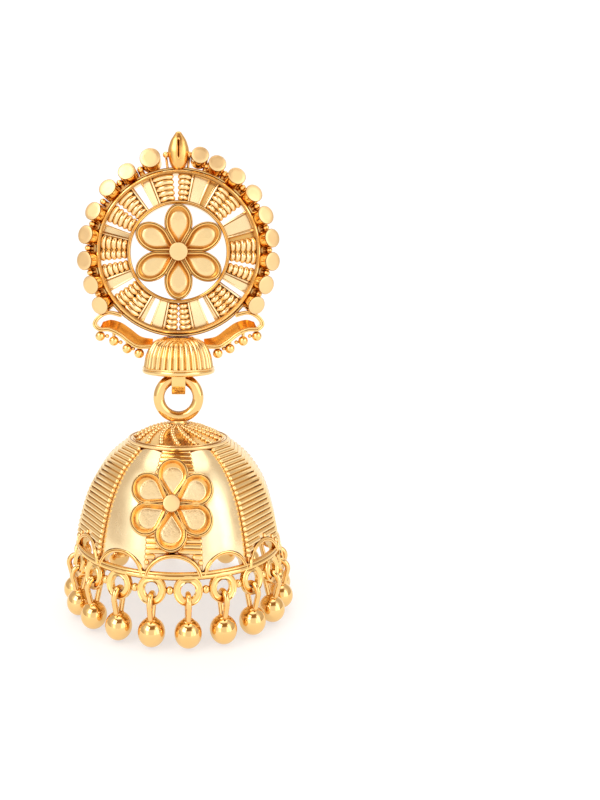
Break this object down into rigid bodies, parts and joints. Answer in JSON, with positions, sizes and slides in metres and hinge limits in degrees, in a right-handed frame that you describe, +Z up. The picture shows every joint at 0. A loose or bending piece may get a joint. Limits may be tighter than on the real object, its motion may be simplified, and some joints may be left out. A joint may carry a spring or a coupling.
{
  "type": "jhumka earring",
  "caption": "Drop earring: a round openwork stud with a flower centre and side wings, and a ribbed bell with a fringe of ball drops that swings below it from a ring.",
  "frame": {"origin": "on the ear post's axis, in the plane where the stud meets the lobe's front", "axes": "+X to the right of someone who faces the earring, +Y backwards along the ear post, +Z up; the front faces -Y"},
  "size_m": [0.0282, 0.0282, 0.058],
  "materials": {
    "stud_gold": "polished gold plate",
    "bell_gold": "polished gold plate",
    "fringe_gold": "polished gold plate",
    "post_gold": "polished gold plate"
  },
  "bodies": {
    "stud": {"ear_post": "post_gold", "stud_frame": "stud_gold", "stud_flower": "stud_gold", "wing_right": "stud_gold", "wing_left": "stud_gold", "ribbed_cap": "stud_gold", "bail_strap": "stud_gold"},
    "drop": {"hanging_ring": "stud_gold", "filigree_top": "bell_gold", "dome_shell": "bell_gold", "dome_flower_front": "bell_gold", "dome_flower_back": "bell_gold", "rim_band": "fringe_gold", "bead_drop_01": "fringe_gold", "bead_drop_02": "fringe_gold", "bead_drop_03": "fringe_gold", "bead_drop_04": "fringe_gold", "bead_drop_05": "fringe_gold", "bead_drop_06": "fringe_gold", "bead_drop_07": "fringe_gold", "bead_drop_08": "fringe_gold", "bead_drop_09": "fringe_gold", "bead_drop_10": "fringe_gold", "bead_drop_11": "fringe_gold", "bead_drop_12": "fringe_gold", "bead_drop_13": "fringe_gold", "bead_drop_14": "fringe_gold", "bead_drop_15": "fringe_gold", "bead_drop_16": "fringe_gold", "bead_drop_17": "fringe_gold", "bead_drop_18": "fringe_gold", "bead_drop_19": "fringe_gold", "bead_drop_20": "fringe_gold"}
  },
  "joints": [
    {"name": "drop_swing", "type": "hinge", "parent": "stud", "child": "drop", "pos_m": [0, -0.0013, -0.01575], "axis": [1, 0, 0], "range_deg": [-75, 75]}
  ]
}
